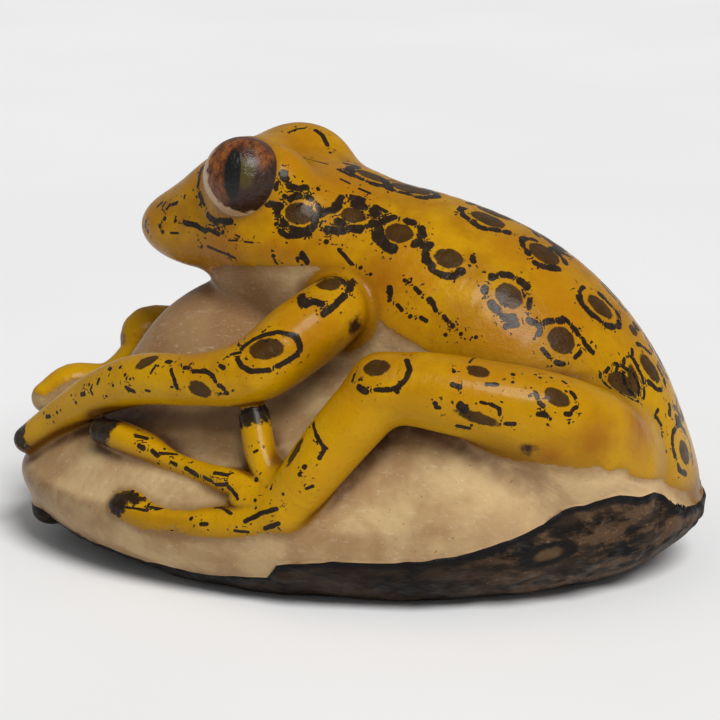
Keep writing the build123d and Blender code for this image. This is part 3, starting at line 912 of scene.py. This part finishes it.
stroke_offset, stroke_gap = brushed()
attributes = {
    "paint": where_painted(),
    "hollow": hollowness(),
    "stroke": stroke_offset,
    "stroke_gap": stroke_gap,
    "spot": spotted(),
    "dip": dipped(),
    "scorch": patches(SCORCHES),
    "glaze": patches(GLAZES),
    "eye": eye_places(),
    "below_rim": coat_rim(skin_points) - skin_points[:, 2],
}


# ---- pieces

def make_piece(name, label):
    """One region's closed mesh, with normals that run on smoothly over its borders."""
    mine = (sides[:, 0] == label) | (sides[:, 1] == label)
    faces = quads[mine].copy()
    pair = sides[mine]
    flipped = pair[:, 1] == label
    faces[flipped] = faces[flipped][:, ::-1]
    open_face = (pair == 0).any(1)
    used, faces = np.unique(faces, return_inverse=True)
    faces = faces.reshape(-1, 4)
    points = vertices[used]
    mesh = bpy.data.meshes.new(name)
    mesh.vertices.add(len(used))
    mesh.vertices.foreach_set("co", (points * MM).ravel())
    mesh.loops.add(faces.size)
    mesh.loops.foreach_set("vertex_index", faces.ravel().astype(np.int32))
    mesh.polygons.add(len(faces))
    mesh.polygons.foreach_set("loop_start", (np.arange(len(faces)) * 4).astype(np.int32))
    mesh.update(calc_edges=True)
    mesh.validate()
    mesh.shade_smooth()

    normals = np.zeros((len(vertices), 3), np.float32)
    normals[skin] = skin_normals
    corner_normals = normals[used][faces]
    a, b, c, e = (points[faces[:, i]] for i in range(4))
    flat = np.cross(c - a, e - b)
    flat /= np.maximum(np.linalg.norm(flat, axis=1, keepdims=True), 1e-9)
    corner_normals[~open_face] = flat[~open_face][:, None]
    mesh.normals_split_custom_set(corner_normals.reshape(-1, 3))

    for key, values in attributes.items():
        whole = np.zeros((len(vertices),) + values.shape[1:], np.float32)
        whole[skin] = values
        kind, field = ("FLOAT", "value") if values.ndim == 1 else ("FLOAT_VECTOR", "vector")
        mesh.attributes.new(key, kind, "POINT").data.foreach_set(field, whole[used].ravel())
    piece = bpy.data.objects.new(name, mesh)
    bpy.context.scene.collection.objects.link(piece)
    return piece


# ---- materials

class Shades:
    """A material's nodes, with short ways to add the ones used here. Lengths are millimetres."""

    def __init__(self, name, roughness):
        self.material = bpy.data.materials.new(name)
        self.material.use_nodes = True
        self.tree = self.material.node_tree
        self.shader = self.tree.nodes["Principled BSDF"]
        self.shader.inputs["Roughness"].default_value = roughness
        scaled = self.node("ShaderNodeVectorMath", operation="SCALE")
        scaled.inputs["Scale"].default_value = 1 / MM
        self.link(self.node("ShaderNodeTexCoord").outputs["Object"], scaled.inputs[0])
        self.place = scaled.outputs[0]

    def node(self, kind, **settings):
        made = self.tree.nodes.new(kind)
        for key, value in settings.items():
            setattr(made, key, value)
        return made

    def link(self, source, target):
        self.tree.links.new(source, target)

    def feed(self, socket, value):
        if isinstance(value, bpy.types.NodeSocket):
            self.link(value, socket)
        else:
            socket.default_value = value

    def math(self, operation, a, b=0.0):
        made = self.node("ShaderNodeMath", operation=operation)
        self.feed(made.inputs[0], a)
        self.feed(made.inputs[1], b)
        return made.outputs[0]

    def plus(self, a, b):
        return self.math("ADD", a, b)

    def minus(self, a, b):
        return self.math("SUBTRACT", a, b)

    def times(self, a, b):
        return self.math("MULTIPLY", a, b)

    def over(self, a, b):
        return self.math("DIVIDE", a, b)

    def larger(self, a, b):
        return self.math("MAXIMUM", a, b)

    def parts(self, vector):
        made = self.node("ShaderNodeSeparateXYZ")
        self.link(vector, made.inputs[0])
        return made.outputs

    def attribute(self, name, output="Fac"):
        return self.node("ShaderNodeAttribute", attribute_name=name).outputs[output]

    def length(self, vector):
        made = self.node("ShaderNodeVectorMath", operation="LENGTH")
        self.link(vector, made.inputs[0])
        return made.outputs["Value"]

    def stretched(self, scale, turn=(0, 0, 0)):
        made = self.node("ShaderNodeMapping")
        self.link(self.place, made.inputs["Vector"])
        made.inputs["Rotation"].default_value = [radians(t) for t in turn]
        made.inputs["Scale"].default_value = scale
        return made.outputs[0]

    def noise(self, size, detail=2.0, rough=0.55, place=None):
        """Noise from 0 to 1 with lumps about size mm across."""
        made = self.node("ShaderNodeTexNoise")
        self.link(place or self.place, made.inputs["Vector"])
        made.inputs["Scale"].default_value = 1 / size
        made.inputs["Detail"].default_value = detail
        made.inputs["Roughness"].default_value = rough
        return made.outputs["Fac"]

    def wander(self, size, detail, width):
        """Noise from minus half of the width to plus half of it."""
        return self.times(self.minus(self.noise(size, detail), 0.5), width)

    def ramp(self, value, low, high, to_low=0.0, to_high=1.0):
        """A smooth step as the value goes from low to high."""
        made = self.node("ShaderNodeMapRange", interpolation_type="SMOOTHSTEP")
        self.feed(made.inputs["Value"], value)
        ends = {"From Min": low, "From Max": high, "To Min": to_low, "To Max": to_high}
        for name, number in ends.items():
            made.inputs[name].default_value = number
        return made.outputs["Result"]

    def mix(self, factor, a, b):
        made = self.node("ShaderNodeMix", data_type="RGBA")
        self.feed(made.inputs["Factor"], factor)
        for socket, value in ((made.inputs["A"], a), (made.inputs["B"], b)):
            self.feed(socket, value if isinstance(value, bpy.types.NodeSocket) else (*value, 1))
        return made.outputs["Result"]

    def tinted(self, colour, value, low, high, shade, strength=1.0):
        """The colour with a shade laid over it, more and more as the value goes from low to high."""
        return self.mix(self.ramp(value, low, high, 0.0, strength), colour, shade)

    def bump(self, height, distance, strength, under=None):
        made = self.node("ShaderNodeBump")
        self.feed(made.inputs["Height"], height)
        made.inputs["Distance"].default_value = distance * MM
        made.inputs["Strength"].default_value = strength
        if under is not None:
            self.link(under, made.inputs["Normal"])
        return made.outputs["Normal"]

    def finish(self, colour, roughness=None, normal=None, coat=0.0, coat_roughness=0.1, specular=0.5):
        self.feed(self.shader.inputs["Base Color"], colour)
        if roughness is not None:
            self.feed(self.shader.inputs["Roughness"], roughness)
        if normal is not None:
            self.link(normal, self.shader.inputs["Normal"])
        self.shader.inputs["Coat Weight"].default_value = coat
        self.shader.inputs["Coat Roughness"].default_value = coat_roughness
        self.shader.inputs["Specular IOR Level"].default_value = specular
        return self.material


def ivory_colour(m):
    """Bare kernel: cream with a pinkish cast, fine growth rings, and brown in the hollows, partly stain and
    partly painted shade.
    """
    hollow = m.attribute("hollow")
    colour = m.mix(m.ramp(m.noise(4.0, 3), 0.35, 0.65), (0.36, 0.22, 0.10), (0.52, 0.365, 0.18))
    x, _, z = m.parts(m.place)
    # painted shade: the bare chest and throat under the head are darkened
    chest = m.times(m.ramp(x, -2, -8), m.times(m.ramp(z, 9, 14), m.ramp(z, 26, 24)))
    colour = m.mix(m.times(chest, 0.7), colour, (0.27, 0.135, 0.055))
    # painted light: the bare kernel is made paler towards the rear, where the light falls on it
    colour = m.tinted(colour, x, 8, 18, (0.78, 0.54, 0.27), 0.55)
    rings = m.node("ShaderNodeTexWave", wave_type="RINGS", rings_direction="SPHERICAL")
    m.link(m.stretched((1.0, 0.8, 1.3)), rings.inputs["Vector"])
    rings.inputs["Scale"].default_value = 0.9
    rings.inputs["Distortion"].default_value = 1.2
    rings.inputs["Detail"].default_value = 2.0
    patchy = m.ramp(m.noise(6.0, 1), 0.4, 0.65, 0.0, 0.14)
    faint = m.times(m.ramp(rings.outputs["Fac"], 0.2, 0.8), patchy)
    colour = m.mix(faint, colour, (0.36, 0.23, 0.13))
    scratches = m.noise(0.5, 3, 0.7, m.stretched((0.35, 1, 1.6), (0, 25, 0)))
    colour = m.tinted(colour, scratches, 0.56, 0.72, (0.66, 0.53, 0.37), 0.28)
    specks = m.noise(0.22, 2, 0.6)
    colour = m.tinted(colour, specks, 0.66, 0.74, (0.78, 0.70, 0.58), 0.35)
    pits = m.noise(0.3, 2, 0.6, m.stretched((1, 1, 1), (30, 10, 5)))
    colour = m.tinted(colour, pits, 0.69, 0.75, (0.10, 0.06, 0.035), 0.6)
    # brown in the creases and hollows: partly stain worked in, partly painted shade where the light does
    # not reach
    soaked_and_shaded = m.times(m.ramp(hollow, 0.12, 0.75), m.ramp(m.noise(1.2, 3), 0.25, 0.6, 0.55, 1.0))
    return m.mix(soaked_and_shaded, colour, (0.13, 0.062, 0.03))


def paint_colour(m):
    """Yellow lacquer: deeper where it lies thick or pools in a crease, with painted shade in the creases
    too, thin and paler over ridges, and brighter lower down as painted light.
    """
    hollow = m.attribute("hollow")
    colour = m.mix(m.ramp(m.noise(3.0, 3), 0.3, 0.7), (0.35, 0.148, 0.0003), (0.50, 0.252, 0.0003))
    thin = m.noise(0.7, 4, 0.7, m.stretched((0.5, 1, 1.2), (0, 30, 0)))
    height = m.parts(m.place)["Z"]
    colour = m.tinted(colour, m.noise(6.0, 2), 0.46, 0.64, (0.34, 0.115, 0.0003), 0.6)
    # painted light: the yellow is made a brighter lemon lower down, over the legs and lower body
    colour = m.tinted(colour, height, 20, 14, (0.55, 0.305, 0.0003), 0.5)
    colour = m.tinted(colour, thin, 0.60, 0.78, (0.52, 0.31, 0.04), 0.3)
    glaze = m.plus(m.attribute("glaze"), m.times(m.noise(1.2, 4), 2.0))
    colour = m.tinted(colour, glaze, 3.0, -0.2, (0.27, 0.08, 0.001), 0.75)
    colour = m.tinted(colour, m.noise(0.25, 2), 0.58, 0.75, (0.27, 0.11, 0.001), 0.35)
    # darker in creases: partly lacquer pooled there, partly painted shade
    return m.tinted(colour, hollow, 0.05, 0.6, (0.15, 0.055, 0.002))


def carving_material(name):
    """Bare ivory, yellow lacquer over it, brown spots and black brush marks over that."""
    m = Shades(name, 0.4)
    fine = m.noise(0.45, 3, 0.6)
    wander = m.minus(fine, 0.5)
    paint_edge = m.plus(m.attribute("paint"), m.times(wander, 0.45))
    painted = m.ramp(paint_edge, 0.05, -0.05)
    lacquer = m.tinted(paint_colour(m), paint_edge, -0.5, 0.0, (0.27, 0.12, 0.004), 0.45)
    ivory = m.tinted(ivory_colour(m), paint_edge, 0.8, 0.0, (0.17, 0.075, 0.015), 0.55)
    colour = m.mix(painted, ivory, lacquer)

    spot_edge = m.plus(m.attribute("spot"), m.times(wander, 0.35))
    spot = m.ramp(spot_edge, 0.05, -0.06)
    brown = m.mix(m.ramp(m.noise(0.8, 3), 0.3, 0.7), (0.015, 0.0065, 0.0025), (0.040, 0.017, 0.005))
    colour = m.mix(m.times(spot, 0.93), colour, brown)

    burn = m.ramp(m.plus(m.attribute("scorch"), m.times(wander, 1.2)), 0.5, -0.3)
    colour = m.mix(burn, colour, (0.035, 0.012, 0.006))

    reach = m.plus(m.length(m.attribute("stroke", "Vector")), m.times(wander, 1.1))
    near = m.ramp(m.attribute("stroke_gap"), 0.26, 0.2)
    ink = m.times(m.ramp(reach, 1.12, 0.88), near)
    dip_edge = m.plus(m.attribute("dip"), m.times(wander, 0.9))
    ink = m.larger(ink, m.ramp(dip_edge, 0.1, -0.15))
    by_stroke = m.ramp(m.attribute("stroke_gap"), 0.75, 0.3)
    spatter = m.times(m.ramp(m.noise(0.4, 1), 0.66, 0.69), by_stroke)
    ink = m.larger(ink, m.times(spatter, painted))
    black = m.mix(m.ramp(m.noise(0.5, 3), 0.45, 0.7), (0.006, 0.005, 0.005), (0.02, 0.013, 0.01))
    colour = m.mix(m.times(ink, 0.97), colour, black)

    rough = m.mix(painted, (0.42, 0.42, 0.42), (0.27, 0.27, 0.27))
    rough = m.tinted(rough, m.noise(1.0, 4, 0.65), 0.35, 0.7, (0.5, 0.5, 0.5), 0.5)
    rough = m.mix(ink, rough, (0.24, 0.24, 0.24))
    normal = m.bump(m.noise(1.6, 4, 0.6), 0.22, 0.55)
    normal = m.bump(m.noise(0.3, 3, 0.65), 0.05, 0.6, normal)
    film = m.plus(m.times(painted, 0.6), m.plus(ink, m.times(spot, 0.3)))
    normal = m.bump(film, 0.05, 0.7, normal)
    return m.finish(colour, rough, normal, coat=0.1, coat_roughness=0.13, specular=0.08)


def eye_material():
    """Red-brown enamel round an upright black slit, a green glint behind it, and a clear coat over all."""
    m = Shades("eye_gloss", 0.25)
    along, _, up = m.parts(m.attribute("eye", "Vector"))
    streaks = m.noise(0.7, 4, 0.7, m.stretched((1.4, 1, 0.7)))
    colour = m.mix(m.ramp(streaks, 0.35, 0.68), (0.055, 0.011, 0.003), (0.27, 0.078, 0.010))
    colour = m.tinted(colour, m.noise(0.35, 3, 0.7), 0.6, 0.75, (0.30, 0.12, 0.04), 0.6)
    low_rear = m.minus(m.times(along, 0.9), m.times(up, 1.0))
    colour = m.tinted(colour, low_rear, 0.1, 0.6, (0.018, 0.009, 0.006), 0.93)

    def oval(middle_x, middle_z, half_x, half_z):
        x = m.over(m.minus(along, middle_x), half_x)
        z = m.over(m.minus(up, middle_z), half_z)
        far = m.plus(m.times(x, x), m.times(z, z))
        return m.plus(far, m.wander(0.5, 3, 0.5))

    colour = m.tinted(colour, oval(0.12, 0.0, 0.5, 0.75), 1.3, 0.7, (0.03, 0.009, 0.004), 0.85)
    colour = m.tinted(colour, oval(0.25, 0.08, 0.24, 0.42), 1.4, 0.3, (0.062, 0.045, 0.003), 0.9)
    colour = m.tinted(colour, oval(-0.08, 0.02, 0.21, 0.62), 1.2, 0.85, (0.004, 0.003, 0.003))
    rim = m.plus(m.times(along, along), m.times(up, up))
    colour = m.tinted(colour, rim, 0.78, 1.0, (0.05, 0.016, 0.008), 0.75)
    front = m.ramp(m.plus(along, m.times(up, 0.75)), 0.1, -0.15)
    bare = m.times(m.ramp(oval(0.14, 0.1, 0.93, 0.97), 0.95, 1.1), front)
    colour = m.mix(bare, colour, (0.50, 0.33, 0.19))
    normal = m.bump(m.noise(0.7, 4, 0.6), 0.22, 0.8)
    rough = m.ramp(streaks, 0.3, 0.7, 0.22, 0.45)
    return m.finish(colour, rough, normal, coat=0.15, coat_roughness=0.2, specular=0.3)


def coat_material():
    """The nut's seed coat: brown-black layers worn through in patches, kept mostly to the rear as painted
    light, shiny where it was handled.
    """
    m = Shades("seed_coat", 0.45)
    layers = m.noise(3.0, 4, 0.6, m.stretched((0.6, 0.6, 2.2)))
    colour = m.mix(m.ramp(layers, 0.4, 0.62), (0.006, 0.0045, 0.0035), (0.028, 0.016, 0.009))
    worn = m.noise(2.2, 5, 0.65, m.stretched((0.8, 0.8, 1.7), (0, 6, 0)))
    # the paler worn patches fade out towards the front: partly real wear, partly painted light on the lit
    # rear of the coat
    rear = m.ramp(m.parts(m.place)["X"], 9, 17, 0.15, 1.0)
    worn_and_lit = m.times(m.ramp(worn, 0.44, 0.6, 0.0, 0.85), rear)
    colour = m.mix(worn_and_lit, colour, (0.10, 0.055, 0.028))
    bright = m.times(m.ramp(m.noise(0.5, 3, 0.7), 0.56, 0.72), worn_and_lit)
    colour = m.mix(bright, colour, (0.19, 0.115, 0.06))
    depth = m.plus(m.attribute("below_rim"), m.wander(0.9, 3, 0.7))
    colour = m.tinted(colour, depth, 0.75, 0.35, (0.006, 0.005, 0.005))
    knot = m.plus(m.attribute("spot"), m.wander(0.5, 3, 0.3))
    colour = m.tinted(colour, knot, 0.5, 0.3, (0.008, 0.006, 0.005))
    colour = m.tinted(colour, knot, 0.05, -0.25, (0.10, 0.058, 0.028), 0.85)
    rough = m.ramp(m.noise(1.4, 4, 0.6), 0.35, 0.7, 0.4, 0.75)
    normal = m.bump(m.noise(2.4, 5, 0.6, m.stretched((0.7, 0.7, 1.6))), 0.5, 0.8)
    normal = m.bump(m.noise(0.4, 3), 0.07, 0.7, normal)
    return m.finish(colour, rough, normal, specular=0.12)


def floor_material():
    m = Shades("paper", 0.8)
    colour = m.mix(m.ramp(m.noise(60.0, 2), 0.3, 0.7), (0.88, 0.88, 0.88), (0.91, 0.91, 0.91))
    return m.finish(colour, specular=0.2)


SLOTS = {
    "left_eye": "eye_gloss",
    "right_eye": "eye_gloss",
    "kernel_ground": "raw_kernel",
    "seed_coat": "seed_coat",
}
MATERIALS = {
    "eye_gloss": eye_material(),
    "raw_kernel": carving_material("raw_kernel"),
    "seed_coat": coat_material(),
    "painted_skin": carving_material("painted_skin"),
}
for label, name in enumerate(NODES, 1):
    piece = make_piece(name + "_look", label)
    slot_name = SLOTS.get(name, "painted_skin")
    piece.data.materials.append(MATERIALS[slot_name])
    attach(piece, "root")
    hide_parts(name)


# ---- floor, light and camera

def make_floor():
    bpy.ops.mesh.primitive_plane_add(size=4.0, location=(0, 0, 0))
    floor = bpy.context.object
    floor.name = "floor"
    floor.data.materials.append(floor_material())


def sun(name, way, strength, breadth):
    """Soft light from one direction, even over the whole floor."""
    data = bpy.data.lights.new(name, "SUN")
    data.energy = strength
    data.angle = radians(breadth)
    light = bpy.data.objects.new(name, data)
    light.rotation_euler = Vector(way).to_track_quat("Z", "Y").to_euler()
    bpy.context.scene.collection.objects.link(light)


SUN_WAY = (0.42, -0.50, 0.76)
SUN_STRENGTH = 2.72
SUN_BREADTH = 28.0
SKY_STRENGTH = 0.3
CAMERA_AZIMUTH, CAMERA_ELEVATION = 14.0, 15.0
CAMERA_DISTANCE = 0.25
CAMERA_TARGET = (0.0, 0.0, 0.0144)
CAMERA_LENS = 165.35


def make_camera():
    a, e = radians(CAMERA_AZIMUTH), radians(CAMERA_ELEVATION)
    back = Vector((sin(a) * cos(e), -cos(a) * cos(e), sin(e)))
    data = bpy.data.cameras.new("camera")
    data.lens = CAMERA_LENS
    data.sensor_width = 36.0
    data.clip_start = 0.01
    camera = bpy.data.objects.new("camera", data)
    camera.location = Vector(CAMERA_TARGET) + back * CAMERA_DISTANCE
    camera.rotation_euler = (-back).to_track_quat("-Z", "Y").to_euler()
    bpy.context.scene.collection.objects.link(camera)
    bpy.context.scene.camera = camera


make_floor()
sun("key", SUN_WAY, SUN_STRENGTH, SUN_BREADTH)
world = bpy.data.worlds.new("world")
world.use_nodes = True
background = world.node_tree.nodes["Background"]
background.inputs["Color"].default_value = (1, 1, 1, 1)
background.inputs["Strength"].default_value = SKY_STRENGTH
bpy.context.scene.world = world
bpy.context.scene.view_settings.view_transform = "Standard"
make_camera()
